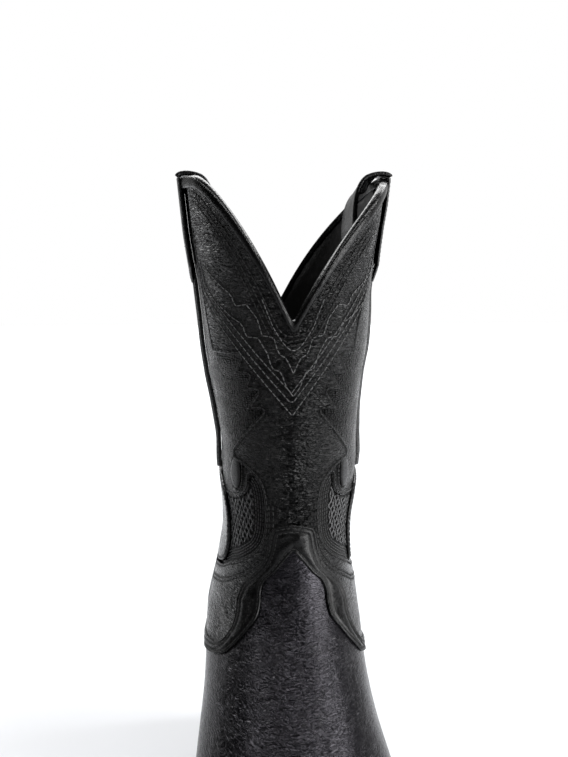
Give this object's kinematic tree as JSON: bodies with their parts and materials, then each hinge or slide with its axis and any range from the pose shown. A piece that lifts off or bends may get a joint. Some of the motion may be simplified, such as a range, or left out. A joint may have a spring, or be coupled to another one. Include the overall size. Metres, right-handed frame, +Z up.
{
  "type": "cowboy boot",
  "caption": "Tall black western boot with deep V top lines, stepped overlay panels, pull straps, leather sole and stacked walking heel.",
  "frame": {"origin": "on the ground, under the middle of the boot's outline", "axes": "+Z up the shaft, toe towards -Y, outer (lateral) side of the left foot towards +X"},
  "size_m": [0.1198, 0.2924, 0.3538],
  "materials": {
    "tumbled_leather": "pebbled, semi-gloss black",
    "smooth_leather": "smooth, glossy black",
    "inlay_leather": "embossed black",
    "strap_leather": "smooth black",
    "lining": "matt, undyed grey-tan",
    "bare_leather": "matt, vegetable tanned",
    "sole_leather": "edge-dressed dark leather",
    "cork": "granular",
    "footbed": "matt",
    "shank_steel": "plain",
    "rubber_cap": "matt black"
  },
  "bodies": {
    "boot": {"outsole": "sole_leather", "welt": "sole_leather", "heel_rand": "sole_leather", "insole": "bare_leather", "cork_filler": "cork", "steel_shank": "shank_steel", "footbed": "footbed", "heel_cap": "rubber_cap", "heel_lift_1": "sole_leather", "heel_lift_2": "sole_leather", "heel_lift_3": "sole_leather", "heel_lift_4": "sole_leather", "vamp_lining": "lining", "shaft_lining_front": "lining", "shaft_lining_back": "lining", "toe_puff": "bare_leather", "counter_stiffener": "bare_leather", "vamp": "tumbled_leather", "heel_counter": "tumbled_leather", "front_shaft_panel": "tumbled_leather", "back_shaft_panel": "tumbled_leather", "vamp_collar": "smooth_leather", "counter_collar": "smooth_leather", "top_binding_front": "smooth_leather", "top_binding_back": "smooth_leather", "wing_inlay_front_medial": "inlay_leather", "wing_inlay_back_medial": "inlay_leather", "lattice_inlay_medial": "inlay_leather", "side_piping_medial": "smooth_leather", "pull_strap_outer_end_medial": "strap_leather", "pull_strap_inner_end_medial": "strap_leather", "wing_inlay_front_lateral": "inlay_leather", "wing_inlay_back_lateral": "inlay_leather", "lattice_inlay_lateral": "inlay_leather", "side_piping_lateral": "smooth_leather", "pull_strap_outer_end_lateral": "strap_leather", "pull_strap_inner_end_lateral": "strap_leather"},
    "medial_loop": {"pull_strap_loop_medial": "strap_leather"},
    "lateral_loop": {"pull_strap_loop_lateral": "strap_leather"}
  },
  "joints": [
    {"name": "medial_loop_swing", "type": "hinge", "parent": "boot", "child": "medial_loop", "pos_m": [-0.059, 0.0741, 0.3493], "axis": [0, 1, 0], "range_deg": [-12, 3], "stiffness_Nm_per_rad": 0.02},
    {"name": "lateral_loop_swing", "type": "hinge", "parent": "boot", "child": "lateral_loop", "pos_m": [0.0593, 0.0741, 0.3493], "axis": [0, 1, 0], "range_deg": [-3, 12], "stiffness_Nm_per_rad": 0.02}
  ]
}
